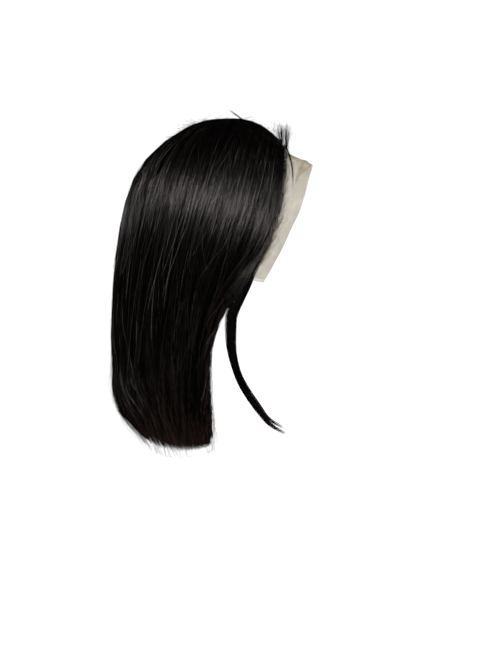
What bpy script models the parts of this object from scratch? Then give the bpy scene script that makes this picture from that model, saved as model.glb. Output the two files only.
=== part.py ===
"""A shoulder-length straight bob wig with a lace front, in the form that it has when worn.

Metres, +X towards the wearer's face, +Y to the wearer's left, +Z up.
The origin is the middle of the cap's inner top, where the wig sits on the head.

A wig is a stretch-net cap with a strip of fine lace along its front, and hair on top of both.
Hair is knotted by hand into the lace on each side of the centre parting, and sewn on in wefts behind it.
It is modelled as three thick curtains and two thin locks that fall forward beside the neck.
"""

import math

import bmesh
import bpy
import numpy as np

# Overall sizes of the hair, over its outside
HAIR_DEPTH = 0.194  # front hairline to the back of the curtain
HAIR_WIDTH = 0.186  # across the widest part of the side curtains
DOME_HEIGHT = 0.1105  # top of the hair down to the ears
CURTAIN_DROP = 0.251  # ears down to the hem

# Thickness of the hair
CROWN_LAYER = 0.011  # over the cap
SIDE_LAYER = 0.016  # in the side curtains
NAPE_LAYER = 0.025  # in the back curtain, behind the neck
EDGE_SHARE = 0.4  # of the layer that is left along the face edge
EDGE_BAND = 0.2  # share of the way round over which the edge thickens

# Relief of the curtains
GROOVE_DEPTH = 0.0022  # between one lock and the next
TIP_STAGGER = 0.009  # difference between long and short locks at the hem
SIDE_LOCKS = 7
BACK_LOCKS = 5  # in each half of the back
SPLIT = 0.55  # share of the way round where knotted hair gives way to wefts
SEAM = 0.0007  # clearance between neighbouring curtains

# Cap and lace
CAP_WALL = 0.0012
LAYER_GAP = 0.0005  # clearance between the cap, the hair and the lace
LACE_WALL = 0.001
LACE_REACH = 0.035  # free width of the lace over the forehead
LACE_FOLD = 0.003  # height of the crease in the forehead lace

# Thin lock beside the neck
LOCK_WIDTH = 0.0115
LOCK_THICKNESS = 0.006

# Mesh density
CURTAIN_LINES = 22
SIDE_COLUMNS = 29
BACK_COLUMNS = 21
CAP_COLUMNS = 15
LACE_COLUMNS = 4
LACE_LINES_PER_ROW = 2
LOCK_SIDES = 8
LOCK_RINGS = 17

# The dome, one row for each contour round the parting, from the parting outwards.
# x is a share of HAIR_DEPTH, y of half HAIR_WIDTH, z of DOME_HEIGHT below the top of the hair.
# back is the middle of the nape side, side the widest point and edge the hairline beside the face.
# edge_turn is the angle of the hairline round the head from straight ahead, in degrees.
# The layers are shares of CROWN_LAYER at the sides and at the back.
LEVEL_NAMES = ("back_x", "back_z", "side_x", "side_y", "side_z", "edge_x", "edge_z", "edge_turn") + (
    "side_layer",
    "back_layer",
)
DOME_ROWS = (
    (-0.216, 0.059, 0.000, 0.000, 0.018, 0.312, 0.290, 40.0, 0.82, 0.82),
    (-0.258, 0.081, -0.005, 0.145, 0.000, 0.314, 0.303, 42.0, 1.00, 1.00),
    (-0.325, 0.166, -0.026, 0.345, 0.041, 0.317, 0.357, 44.0, 1.00, 1.00),
    (-0.412, 0.271, -0.046, 0.548, 0.145, 0.317, 0.439, 45.0, 1.00, 1.00),
    (-0.515, 0.462, -0.072, 0.742, 0.312, 0.312, 0.584, 47.0, 1.00, 1.00),
    (-0.582, 0.692, -0.103, 0.868, 0.529, 0.302, 0.756, 48.5, 1.05, 1.00),
    (-0.624, 0.955, -0.129, 0.928, 0.756, 0.284, 0.937, 50.5, 1.10, 1.10),
)

# The curtain below the ears, with z as a share of CURTAIN_DROP below the dome.
# The layers are shares of SIDE_LAYER and NAPE_LAYER.
CURTAIN_ROWS = (
    (-0.649, 0.096, -0.155, 0.952, 0.000, 0.247, 0.064, 53.0, 0.78, 0.60),
    (-0.670, 0.227, -0.180, 0.973, 0.127, 0.191, 0.159, 56.0, 0.82, 0.80),
    (-0.680, 0.367, -0.211, 0.989, 0.263, 0.077, 0.271, 58.0, 0.88, 0.96),
    (-0.686, 0.506, -0.247, 1.000, 0.406, -0.046, 0.418, 57.0, 0.94, 1.00),
    (-0.679, 0.637, -0.278, 1.000, 0.546, -0.113, 0.566, 54.0, 1.00, 1.00),
    (-0.675, 0.757, -0.294, 0.984, 0.693, -0.119, 0.705, 53.0, 1.00, 0.96),
    (-0.624, 0.857, -0.294, 0.935, 0.837, -0.111, 0.845, 54.0, 0.88, 0.76),
    (-0.505, 0.948, -0.278, 0.839, 1.000, -0.103, 0.976, 57.0, 0.44, 0.36),
)

# Where the cap ends, one row for each place round its rim: share of the way round, level that it reaches.
CAP_RIM = (
    (0.00, 8.7),
    (0.10, 8.3),
    (0.22, 7.1),
    (0.42, 7.3),
    (0.70, 8.3),
    (1.00, 9.1),
)

# The free edge of the lace, one row for each level of the hairline that it follows.
# forward, inward and down are shares of LACE_REACH from the hairline.
LACE_NAMES = ("level", "forward", "inward", "down")
LACE_ROWS = (
    (0.0, 0.88, 0.00, 0.50),
    (1.0, 0.87, 0.07, 0.50),
    (2.0, 0.86, 0.17, 0.44),
    (3.0, 0.85, 0.27, 0.32),
    (4.0, 0.81, 0.30, 0.20),
    (5.0, 0.76, 0.30, 0.12),
    (6.0, 0.70, 0.26, 0.08),
    (7.0, 0.62, 0.20, 0.05),
    (8.0, 0.56, 0.15, 0.05),
    (8.9, 0.52, 0.10, 0.13),
)

# The thin lock, one row for each ring from its root down.
# x is a share of HAIR_DEPTH, y of half HAIR_WIDTH, z of CURTAIN_DROP below the dome.
# width is a share of LOCK_WIDTH and thick of LOCK_THICKNESS.
LOCK_NAMES = ("x", "y", "z", "width", "thick")
LOCK_ROWS = (
    (0.094, 0.845, 0.272, 0.20, 0.30),
    (0.075, 0.842, 0.300, 0.70, 0.75),
    (0.045, 0.835, 0.345, 1.05, 1.00),
    (0.002, 0.820, 0.415, 1.25, 1.00),
    (-0.005, 0.800, 0.470, 1.05, 1.00),
    (-0.004, 0.785, 0.540, 0.95, 0.95),
    (0.008, 0.760, 0.610, 0.88, 0.90),
    (0.039, 0.725, 0.690, 0.82, 0.85),
    (0.090, 0.690, 0.760, 0.66, 0.75),
    (0.157, 0.655, 0.832, 0.48, 0.60),
    (0.214, 0.630, 0.885, 0.32, 0.42),
    (0.300, 0.600, 0.925, 0.06, 0.12),
)

FALL_EXPONENT = 2.4  # how square the contours fall away towards the front and the back
EPSILON = 1e-4  # step for the numerical normals

HAIR_TOP = CAP_WALL + LAYER_GAP + CROWN_LAYER
EAR_Z = HAIR_TOP - DOME_HEIGHT


def smooth_step(x):
    """0 below 0, 1 above 1, and an S-shaped rise between."""
    x = np.clip(x, 0.0, 1.0)
    return x * x * (3.0 - 2.0 * x)


def through(rows, place):
    """Catmull-Rom curve through the rows of a table, read at a fractional row number."""
    rows = np.asarray(rows, float)
    place = np.clip(np.asarray(place, float), 0.0, len(rows) - 1.0)
    start = np.minimum(place.astype(int), len(rows) - 2)
    u = (place - start)[..., None]
    padded = np.concatenate([[2 * rows[0] - rows[1]], rows, [2 * rows[-1] - rows[-2]]])
    a, b, c, d = (padded[start + shift] for shift in range(4))
    return b + 0.5 * u * ((c - a) + u * ((2 * a - 5 * b + 4 * c - d) + u * (3 * (b - c) + d - a)))


def level_table():
    """The two tables in metres, one above the other."""
    columns = {name: [] for name in LEVEL_NAMES}
    for rows, z_start, height, side_layer, back_layer in (
        (DOME_ROWS, HAIR_TOP, DOME_HEIGHT, CROWN_LAYER, CROWN_LAYER),
        (CURTAIN_ROWS, EAR_Z, CURTAIN_DROP, SIDE_LAYER, NAPE_LAYER),
    ):
        for row in rows:
            named = dict(zip(LEVEL_NAMES, row))
            for name in ("back_x", "side_x", "edge_x"):
                columns[name].append(named[name] * HAIR_DEPTH)
            for name in ("back_z", "side_z", "edge_z"):
                columns[name].append(z_start - named[name] * height)
            columns["side_y"].append(named["side_y"] * HAIR_WIDTH / 2)
            columns["edge_turn"].append(math.radians(named["edge_turn"]))
            columns["side_layer"].append(named["side_layer"] * side_layer)
            columns["back_layer"].append(named["back_layer"] * back_layer)
    return np.array([columns[name] for name in LEVEL_NAMES]).T


LEVELS = level_table()
LAST_LEVEL = len(LEVELS) - 1.0


def hair_surface(around, level):
    """A point on the outside of the hair on the wearer's right.

    around runs from 0 at the face edge to 1 at the middle of the back, level from 0 at the parting to the hem.
    Each level is a contour round the head: part of an ellipse, with its own reach to the front and the back."""
    around, level = np.broadcast_arrays(np.asarray(around, float), np.asarray(level, float))
    named = dict(zip(LEVEL_NAMES, np.moveaxis(through(LEVELS, level), -1, 0)))
    turn = named["edge_turn"] + (math.pi - named["edge_turn"]) * around
    ahead = np.cos(turn)
    front_reach = (named["edge_x"] - named["side_x"]) / np.cos(named["edge_turn"])
    back_reach = named["side_x"] - named["back_x"]
    x = named["side_x"] + ahead * np.where(ahead > 0, front_reach, back_reach)
    y = -named["side_y"] * np.sin(turn)
    fall = np.where(
        ahead > 0,
        (named["edge_z"] - named["side_z"]) * (np.abs(ahead) / np.cos(named["edge_turn"])) ** FALL_EXPONENT,
        (named["back_z"] - named["side_z"]) * np.abs(ahead) ** FALL_EXPONENT,
    )
    return np.stack([x, y, named["side_z"] + fall], axis=-1)


def hair_normal(around, level):
    """Unit vector out of the hair, kept in the middle plane where the two halves meet."""
    around, level = np.broadcast_arrays(np.asarray(around, float), np.asarray(level, float))
    before, after = np.clip(around - EPSILON, 0, 1), np.clip(around + EPSILON, 0, 1)
    above, below = np.clip(level - EPSILON, 0, LAST_LEVEL), np.clip(level + EPSILON, 0, LAST_LEVEL)
    off_parting = np.maximum(level, 10 * EPSILON)
    round_way = hair_surface(after, off_parting) - hair_surface(before, off_parting)
    down_way = hair_surface(around, below) - hair_surface(around, above)
    normal = np.cross(round_way, down_way)
    meets = (level < EPSILON) | (around > 1 - EPSILON)
    normal[..., 1] = np.where(meets, 0.0, normal[..., 1])
    return normal / np.linalg.norm(normal, axis=-1, keepdims=True)


def layer(around, level):
    """Thickness of the hair: thin at the face edge, thickest behind the neck."""
    named = dict(zip(LEVEL_NAMES, np.moveaxis(through(LEVELS, level), -1, 0)))
    share_back = smooth_step((around - 0.45) / 0.5)
    full = named["side_layer"] + (named["back_layer"] - named["side_layer"]) * share_back
    return full * (EDGE_SHARE + (1 - EDGE_SHARE) * smooth_step(around / EDGE_BAND))


def under(around, level, depth):
    """A point that lies depth below the outside of the hair."""
    return hair_surface(around, level) - hair_normal(around, level) * depth[..., None]


def locks(around, level, count, phase):
    """How far one groove between locks is from the next, as 0 in a groove and 1 on a lock's back."""
    sway = 0.06 * np.sin(0.7 * level + 3.0 * phase)
    return np.sqrt(np.abs(np.sin(math.pi * (count * around + sway + phase))))


def mesh_object(name, points, faces, colour, roughness):
    """One object from points and faces, shaded smooth, with its own material."""
    mesh = bpy.data.meshes.new(name)
    built = bmesh.new()
    vertices = [built.verts.new(point) for point in points]
    for face in faces:
        built.faces.new([vertices[i] for i in face])
    bmesh.ops.remove_doubles(built, verts=built.verts, dist=0.00002)
    bmesh.ops.recalc_face_normals(built, faces=built.faces)
    built.to_mesh(mesh)
    built.free()
    mesh.shade_smooth()
    mesh.set_sharp_from_angle(angle=math.radians(50))
    material = bpy.data.materials.new(name)
    material.use_nodes = True
    shader = material.node_tree.nodes["Principled BSDF"]
    shader.inputs["Base Color"].default_value = (*colour, 1.0)
    shader.inputs["Roughness"].default_value = roughness
    mesh.materials.append(material)
    made = bpy.data.objects.new(name, mesh)
    collection.objects.link(made)
    return made


def wall_mesh(outside, inside, open_sides=()):
    """Points and faces of a wall between two grids of the same size, with a rim on every side that isn't open.

    Sides are named first_row, last_row, first_column and last_column."""
    rows, columns = outside.shape[:2]
    points = np.concatenate([outside.reshape(-1, 3), inside.reshape(-1, 3)])
    number = np.arange(2 * rows * columns).reshape(2, rows, columns)
    faces = []
    for sheet in number:
        quads = np.stack([sheet[:-1, :-1], sheet[:-1, 1:], sheet[1:, 1:], sheet[1:, :-1]], -1)
        faces += quads.reshape(-1, 4).tolist()
    edges = {
        "first_row": number[:, 0, :],
        "last_row": number[:, -1, :],
        "first_column": number[:, :, 0],
        "last_column": number[:, :, -1],
    }
    for side, (outer, inner) in edges.items():
        if side not in open_sides:
            faces += np.stack([outer[:-1], outer[1:], inner[1:], inner[:-1]], -1).tolist()
    return points, faces


def mirrored(half):
    """Completes a half that is open at the middle plane."""
    modifier = half.modifiers.new("Mirror", "MIRROR")
    modifier.use_axis = (False, True, False)
    modifier.use_clip = True
    modifier.merge_threshold = 0.00005
    return half


def curtain_grids(start, end, columns, count, phase):
    """Outer and inner grids of a curtain, with grooves between its locks and staggered tips."""
    level, around = np.meshgrid(
        np.linspace(0, LAST_LEVEL, CURTAIN_LINES), np.linspace(start, end, columns), indexing="ij"
    )
    share = (around - start) / (end - start)
    relief = locks(share, level, count, phase)
    last_length = np.linalg.norm(hair_surface(0.5, LAST_LEVEL) - hair_surface(0.5, LAST_LEVEL - 1))
    shorter = TIP_STAGGER / last_length * (1 - relief) * smooth_step(level - LAST_LEVEL + 1.0)
    level = level - shorter
    groove = GROOVE_DEPTH * (1 - relief) * smooth_step((level - 4.0) / 5.0)
    deep = layer(around, level)
    return under(around, level, groove), under(around, level, deep)


def side_curtain(name, side):
    """Hair knotted into the lace, which falls in front of and over one ear."""
    outside, inside = curtain_grids(0.0, SPLIT, SIDE_COLUMNS, SIDE_LOCKS, 0.0)
    for grid in (outside, inside):
        grid[..., 1] = np.minimum(grid[..., 1], -SEAM / 2)
        grid[..., 1] *= side
    points, faces = wall_mesh(outside, inside)
    return mesh_object(name, points, faces, HAIR_COLOUR, HAIR_ROUGHNESS)


def back_curtain():
    """Weft hair, from the crown to the hem behind the neck."""
    gap = SEAM / (math.pi * HAIR_DEPTH / 4)
    outside, inside = curtain_grids(SPLIT + gap, 1.0, BACK_COLUMNS, BACK_LOCKS, 0.5)
    points, faces = wall_mesh(outside, inside, open_sides=("first_row", "last_column"))
    return mirrored(mesh_object("weft_hair_back", points, faces, HAIR_COLOUR, HAIR_ROUGHNESS))


def net_cap():
    """The stretch-net cap, from the hairline over the crown to the nape, cut away over the ears."""
    rim = np.asarray(CAP_RIM)
    around = np.linspace(0.0, 1.0, CAP_COLUMNS)
    reach = through(rim[:, 1:], np.interp(around, rim[:, 0], np.arange(len(rim))))[:, 0]
    lines = np.linspace(0, LAST_LEVEL, CURTAIN_LINES)
    lines = lines[: np.searchsorted(lines, reach.max()) + 1]
    level = np.minimum(lines[:, None], reach)
    around = np.broadcast_to(around, level.shape)
    top = layer(around, level) + LAYER_GAP
    points, faces = wall_mesh(
        under(around, level, top), under(around, level, top + CAP_WALL), open_sides=("first_row", "last_column")
    )
    return mirrored(mesh_object("net_cap", points, faces, CAP_COLOUR, CLOTH_ROUGHNESS))


def lace_front():
    """Fine lace that runs on past the hairline, from one ear tab over the forehead to the other."""
    rows = np.asarray(LACE_ROWS)
    place = np.linspace(0, len(rows) - 1, LACE_LINES_PER_ROW * (len(rows) - 1) + 1)
    named = dict(zip(LACE_NAMES, through(rows, place).T))
    level = np.clip(named["level"], 0, rows[-1, 0])
    around = np.zeros_like(level)
    middle = layer(around, level) + LAYER_GAP + CAP_WALL / 2
    root = under(around, level, middle)
    ahead = hair_surface(0.0, level) - hair_surface(0.02, level)
    ahead[0, 1] = 0.0
    ahead /= np.linalg.norm(ahead, axis=-1, keepdims=True)
    root += ahead * LAYER_GAP
    free = root + LACE_REACH * np.stack([named["forward"], named["inward"], -named["down"]], -1)
    across = np.linspace(0, 1, LACE_COLUMNS)[None, :, None]
    sheet = root[:, None] * (1 - across) + free[:, None] * across
    upright = np.cross(ahead, np.gradient(root, axis=0))
    upright[0, 1] = 0.0
    upright /= np.linalg.norm(upright, axis=-1, keepdims=True)
    bow = 0.06 * LACE_REACH * np.sin(math.pi * across)
    fold = LACE_FOLD * np.exp(-(((level[:, None, None] - 1.6) / 0.6) ** 2)) * across
    sheet = sheet + upright[:, None] * (bow + fold)
    half_wall = upright[:, None] * LACE_WALL / 2
    points, faces = wall_mesh(sheet + half_wall, sheet - half_wall, open_sides=("first_row",))
    return mirrored(mesh_object("lace_front", points, faces, LACE_COLOUR, CLOTH_ROUGHNESS))


def face_lock(name, side):
    """A thin lock that hangs from the hairline by the ear, clear of the curtain, and sweeps forward at its tip."""
    rings = dict(zip(LOCK_NAMES, through(LOCK_ROWS, np.linspace(0, len(LOCK_ROWS) - 1, LOCK_RINGS)).T))
    path = np.stack(
        [rings["x"] * HAIR_DEPTH, -rings["y"] * HAIR_WIDTH / 2, EAR_Z - rings["z"] * CURTAIN_DROP], axis=-1
    )
    along = np.gradient(path, axis=0)
    along /= np.linalg.norm(along, axis=-1, keepdims=True)
    flat = np.cross(along, [0.0, 1.0, 0.0])
    flat /= np.linalg.norm(flat, axis=-1, keepdims=True)
    proud = np.cross(along, flat)
    turn = np.linspace(0, 2 * math.pi, LOCK_SIDES, endpoint=False)[None, :, None]
    width = (np.abs(rings["width"]) * LOCK_WIDTH / 2)[:, None, None]
    thick = (np.abs(rings["thick"]) * LOCK_THICKNESS / 2)[:, None, None]
    ring = path[:, None] + flat[:, None] * width * np.cos(turn) + proud[:, None] * thick * np.sin(turn)
    ring[..., 1] *= side
    number = np.arange(LOCK_RINGS * LOCK_SIDES).reshape(LOCK_RINGS, LOCK_SIDES)
    beside = np.roll(number, -1, axis=1)
    faces = np.stack([number[:-1], beside[:-1], beside[1:], number[1:]], -1).reshape(-1, 4).tolist()
    faces += [number[0].tolist(), number[-1].tolist()]
    return mesh_object(name, ring.reshape(-1, 3), faces, HAIR_COLOUR, HAIR_ROUGHNESS)


HAIR_COLOUR = (0.012, 0.009, 0.008)
HAIR_ROUGHNESS = 0.4
CAP_COLOUR = (0.02, 0.017, 0.015)
LACE_COLOUR = (0.55, 0.47, 0.36)
CLOTH_ROUGHNESS = 0.85

for old in list(bpy.data.objects):
    bpy.data.objects.remove(old)
collection = bpy.data.collections.new("bob_wig")
bpy.context.scene.collection.children.link(collection)

RIGHT, LEFT = 1, -1
net_cap()
lace_front()
back_curtain()
side_curtain("knotted_hair_right", RIGHT)
side_curtain("knotted_hair_left", LEFT)
face_lock("face_lock_right", RIGHT)
face_lock("face_lock_left", LEFT)
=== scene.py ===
import math
import bmesh
import bpy
import numpy as np
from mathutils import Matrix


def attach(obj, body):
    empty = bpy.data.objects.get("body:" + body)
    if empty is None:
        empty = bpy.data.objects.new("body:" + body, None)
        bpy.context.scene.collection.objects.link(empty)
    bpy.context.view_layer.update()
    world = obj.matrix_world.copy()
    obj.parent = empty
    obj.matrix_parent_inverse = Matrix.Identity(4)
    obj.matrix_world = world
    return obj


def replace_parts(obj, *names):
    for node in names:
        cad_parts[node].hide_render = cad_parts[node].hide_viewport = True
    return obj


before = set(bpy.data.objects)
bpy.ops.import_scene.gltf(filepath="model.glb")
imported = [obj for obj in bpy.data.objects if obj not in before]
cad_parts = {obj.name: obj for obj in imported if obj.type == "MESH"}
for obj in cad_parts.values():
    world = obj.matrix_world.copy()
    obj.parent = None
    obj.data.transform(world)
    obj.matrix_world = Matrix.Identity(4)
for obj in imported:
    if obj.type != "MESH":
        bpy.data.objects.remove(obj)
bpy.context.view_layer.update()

# The fall of the hair.
# A bob of straight human hair hangs from a middle parting as two side curtains and a back curtain.
# Its outside is a stack of contours round the wearer's head, in the same sizes as the solids.
HAIR_DEPTH = 0.194
HAIR_WIDTH = 0.186
DOME_HEIGHT = 0.1105
CURTAIN_DROP = 0.251
CROWN_LAYER = 0.011
SIDE_LAYER = 0.016
NAPE_LAYER = 0.025
CAP_WALL = 0.0012
LAYER_GAP = 0.0005
HAIR_TOP = CAP_WALL + LAYER_GAP + CROWN_LAYER
EAR_Z = HAIR_TOP - DOME_HEIGHT

# Contours from the parting outwards: shares of the sizes above, with the hairline's angle in degrees
LEVEL_NAMES = (
    ("back_x", "back_z", "side_x", "side_y", "side_z")
    + ("edge_x", "edge_z", "edge_turn", "side_layer", "back_layer")
)
DOME_ROWS = (
    (-0.216, 0.059, 0.000, 0.000, 0.018, 0.312, 0.290, 40.0, 0.82, 0.82),
    (-0.258, 0.081, -0.005, 0.145, 0.000, 0.314, 0.303, 42.0, 1.00, 1.00),
    (-0.325, 0.166, -0.026, 0.345, 0.041, 0.317, 0.357, 44.0, 1.00, 1.00),
    (-0.412, 0.271, -0.046, 0.548, 0.145, 0.317, 0.439, 45.0, 1.00, 1.00),
    (-0.515, 0.462, -0.072, 0.742, 0.312, 0.312, 0.584, 47.0, 1.00, 1.00),
    (-0.582, 0.692, -0.103, 0.868, 0.529, 0.302, 0.756, 48.5, 1.05, 1.00),
    (-0.624, 0.955, -0.129, 0.928, 0.756, 0.284, 0.937, 50.5, 1.10, 1.10),
)
CURTAIN_ROWS = (
    (-0.649, 0.096, -0.155, 0.952, 0.000, 0.247, 0.064, 53.0, 0.78, 0.60),
    (-0.670, 0.227, -0.180, 0.973, 0.127, 0.191, 0.159, 56.0, 0.82, 0.80),
    (-0.680, 0.367, -0.211, 0.989, 0.263, 0.077, 0.271, 58.0, 0.88, 0.96),
    (-0.686, 0.506, -0.247, 1.000, 0.406, -0.046, 0.418, 57.0, 0.94, 1.00),
    (-0.679, 0.637, -0.278, 1.000, 0.546, -0.113, 0.566, 54.0, 1.00, 1.00),
    (-0.675, 0.757, -0.294, 0.984, 0.693, -0.119, 0.705, 53.0, 1.00, 0.96),
    (-0.624, 0.857, -0.294, 0.935, 0.837, -0.111, 0.845, 54.0, 0.88, 0.76),
    (-0.505, 0.948, -0.278, 0.839, 1.000, -0.103, 0.976, 57.0, 0.44, 0.36),
)
FALL_EXPONENT = 2.4  # how late a contour drops away from its highest place at the side
EDGE_SHARE = 0.4  # thickness of the hair at its front edge, as a share of the full layer
EDGE_RISE = (0.0, 0.2)  # where round the head it fills out: a start, and the way from there
BACK_RISE = (0.45, 0.5)  # the same for the change from the side's layer to the back's


def smooth_step(x):
    """0 below 0, 1 above 1, and an S-shaped rise between: three squares of x less two cubes."""
    x = np.clip(x, 0.0, 1.0)
    return x * x * (3.0 - 2.0 * x)


def rise(value, start, over):
    """A smooth step that begins at start and is done after the distance over: the two numbers of a RISE."""
    return smooth_step((value - start) / over)


def through(rows, place):
    """Catmull-Rom curve through the rows of a table, read at a fractional row number."""
    rows = np.asarray(rows, float)
    place = np.clip(np.asarray(place, float), 0.0, len(rows) - 1.0)
    start = np.minimum(place.astype(int), len(rows) - 2)
    u = (place - start)[..., None]
    padded = np.concatenate([[2 * rows[0] - rows[1]], rows, [2 * rows[-1] - rows[-2]]])
    a, b, c, d = (padded[start + shift] for shift in range(4))
    return b + 0.5 * u * ((c - a) + u * ((2 * a - 5 * b + 4 * c - d) + u * (3 * (b - c) + d - a)))


def named_columns(names, rows, place):
    """The columns of a table by name, each read at a fractional row number."""
    return dict(zip(names, np.moveaxis(through(rows, place), -1, 0)))


def level_table():
    """The contours in metres: x times the depth, y times half the width, z down from the crown or ears."""
    rows = []
    for table, z_start, height, side, back in (
        (DOME_ROWS, HAIR_TOP, DOME_HEIGHT, CROWN_LAYER, CROWN_LAYER),
        (CURTAIN_ROWS, EAR_Z, CURTAIN_DROP, SIDE_LAYER, NAPE_LAYER),
    ):
        for back_x, back_z, side_x, side_y, side_z, edge_x, edge_z, turn, side_layer, back_layer in table:
            at_back = (back_x * HAIR_DEPTH, z_start - back_z * height)
            at_side = (side_x * HAIR_DEPTH, side_y * HAIR_WIDTH / 2, z_start - side_z * height)
            at_edge = (edge_x * HAIR_DEPTH, z_start - edge_z * height, math.radians(turn))
            rows.append(at_back + at_side + at_edge + (side_layer * side, back_layer * back))
    return np.array(rows)


LEVELS = level_table()
LAST_LEVEL = len(LEVELS) - 1.0


def hair_surface(around, level):
    """A point on the outside of the hair on the wearer's right.

    around runs from 0 at the front edge to 1 at the middle of the back, level from 0 at the parting to the
    hem. x and y follow an ellipse by the angle round the head, and z falls with a power of its cosine."""
    around, level = np.broadcast_arrays(np.asarray(around, float), np.asarray(level, float))
    contour = named_columns(LEVEL_NAMES, LEVELS, level)
    turn = contour["edge_turn"] + (math.pi - contour["edge_turn"]) * around
    ahead = np.cos(turn)
    front_reach = (contour["edge_x"] - contour["side_x"]) / np.cos(contour["edge_turn"])
    back_reach = contour["side_x"] - contour["back_x"]
    x = contour["side_x"] + ahead * np.where(ahead > 0, front_reach, back_reach)
    y = -contour["side_y"] * np.sin(turn)
    front_fall = (contour["edge_z"] - contour["side_z"]) * (
        np.abs(ahead) / np.cos(contour["edge_turn"])
    ) ** FALL_EXPONENT
    back_fall = (contour["back_z"] - contour["side_z"]) * np.abs(ahead) ** FALL_EXPONENT
    return np.stack([x, y, contour["side_z"] + np.where(ahead > 0, front_fall, back_fall)], axis=-1)


def unit(vectors):
    """The same directions with length 1."""
    return vectors / np.maximum(np.linalg.norm(vectors, axis=-1, keepdims=True), 1e-12)


def hair_normal(around, level):
    """Unit vector out of the hair: the cross product of small steps round the head and down it."""
    step = 1e-3
    around, level = np.broadcast_arrays(np.asarray(around, float), np.asarray(level, float))
    off_parting = np.maximum(level, 10 * step)
    round_way = hair_surface(around + step, off_parting) - hair_surface(around - step, off_parting)
    above, below = np.clip(level - step, 0, LAST_LEVEL), np.clip(level + step, 0, LAST_LEVEL)
    return unit(np.cross(round_way, hair_surface(around, below) - hair_surface(around, above)))


def layer(around, level):
    """Thickness of the hair: thin at the front edge, thickest at the nape."""
    contour = named_columns(LEVEL_NAMES, LEVELS, level)
    full = contour["side_layer"] + (contour["back_layer"] - contour["side_layer"]) * rise(around, *BACK_RISE)
    return full * (EDGE_SHARE + (1 - EDGE_SHARE) * rise(around, *EDGE_RISE))


# The hair's colour.
# The hair is unprocessed and black-brown, with odd lighter hairs; its ends are browner, partly in colour and
# partly painted light shining through the thin tips.
# A strand's tone runs across the map and its length runs up it, so one material serves every strand.
HAIR_TONES = (
    (0.0, (0.0003, 0.0003, 0.0003)),
    (0.5, (0.0014, 0.0010, 0.0009)),
    (0.75, (0.0060, 0.0043, 0.0036)),
    (1.0, (0.0190, 0.0132, 0.0102)),
)
# Tip tint: partly the hair's own browner ends, partly a painted glow of light shining through the thin tips at
# the hem.
TIP_TINT_AND_GLOW = (8.5, 5.6, 4.4)
TIP_FROM, TIP_TO = 0.93, 1.0
HAIR_ROUGHNESS = 0.27
HAIR_INDEX = 1.55
HAIR_GLEAM = (1.0, 0.92, 0.89)
TONE_STEPS = 64  # cells across the map, each of one tone
TONE_CELL = (0.25, 0.75)  # where a strand's two edges lie in its cell
SPLAY = 0.5  # how far the normals at a strand's edges turn outwards
FREE_ROLL, MOST_ROLL = 0.85, 1.1  # radians
ROOT_WIDTH, ROOT_TAPER = 0.35, 8.0  # share of its full width at the root, and how fast it widens
TIP_WIDTH, TIP_TAPER, TIP_PAST = 0.12, 9.0, 1.02  # the same at the tip, whose point would lie past it

hair = bpy.data.materials.new("black_brown_hair")
hair.use_nodes = True
tree = hair.node_tree
shader = tree.nodes["Principled BSDF"]
shader.inputs["Roughness"].default_value = HAIR_ROUGHNESS
shader.inputs["IOR"].default_value = HAIR_INDEX
shader.inputs["Specular Tint"].default_value = (*HAIR_GLEAM, 1.0)
strand_map = tree.nodes.new("ShaderNodeUVMap")
strand_map.uv_map = "OFBake"
parts = tree.nodes.new("ShaderNodeSeparateXYZ")
tree.links.new(strand_map.outputs["UV"], parts.inputs["Vector"])
tones = tree.nodes.new("ShaderNodeValToRGB")
stops = tones.color_ramp.elements
for place, colour in HAIR_TONES:
    stop = stops[0] if place == 0.0 else stops[-1] if place == 1.0 else stops.new(place)
    stop.color = (*colour, 1.0)
tree.links.new(parts.outputs["X"], tones.inputs["Fac"])
towards_tip = tree.nodes.new("ShaderNodeMapRange")
towards_tip.inputs["From Min"].default_value = TIP_FROM
towards_tip.inputs["From Max"].default_value = TIP_TO
tree.links.new(parts.outputs["Y"], towards_tip.inputs["Value"])
# Painted glow at the tips: the tip tint multiplies each strand's tone towards its end.
tinted_and_glowing = tree.nodes.new("ShaderNodeMix")
tinted_and_glowing.data_type = "RGBA"
tinted_and_glowing.blend_type = "MULTIPLY"
tinted_and_glowing.clamp_result = False
tinted_and_glowing.inputs["B"].default_value = (*TIP_TINT_AND_GLOW, 1.0)
tree.links.new(towards_tip.outputs["Result"], tinted_and_glowing.inputs["Factor"])
tree.links.new(tones.outputs["Color"], tinted_and_glowing.inputs["A"])
tree.links.new(tinted_and_glowing.outputs["Result"], shader.inputs["Base Color"])


def grid_mesh(name, points, uv, faces, normals=None):
    """A mesh object from arrays: one row of points and of uv for each vertex, four vertices for each face."""
    mesh = bpy.data.meshes.new(name)
    mesh.vertices.add(len(points))
    mesh.vertices.foreach_set("co", np.ascontiguousarray(points, np.float32).ravel())
    mesh.loops.add(faces.size)
    mesh.loops.foreach_set("vertex_index", faces.ravel().astype(np.int32))
    mesh.polygons.add(len(faces))
    mesh.polygons.foreach_set("loop_start", np.arange(0, faces.size, faces.shape[1], dtype=np.int32))
    mesh.polygons.foreach_set("loop_total", np.full(len(faces), faces.shape[1], np.int32))
    layer_uv = mesh.uv_layers.new(name="OFBake")
    layer_uv.data.foreach_set("uv", np.ascontiguousarray(uv[faces.ravel()], np.float32).ravel())
    mesh.update(calc_edges=True)
    mesh.shade_smooth()
    if normals is not None:
        mesh.normals_split_custom_set_from_vertices(np.ascontiguousarray(normals, np.float32))
    made = bpy.data.objects.new(name, mesh)
    bpy.context.scene.collection.objects.link(made)
    return made


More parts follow.
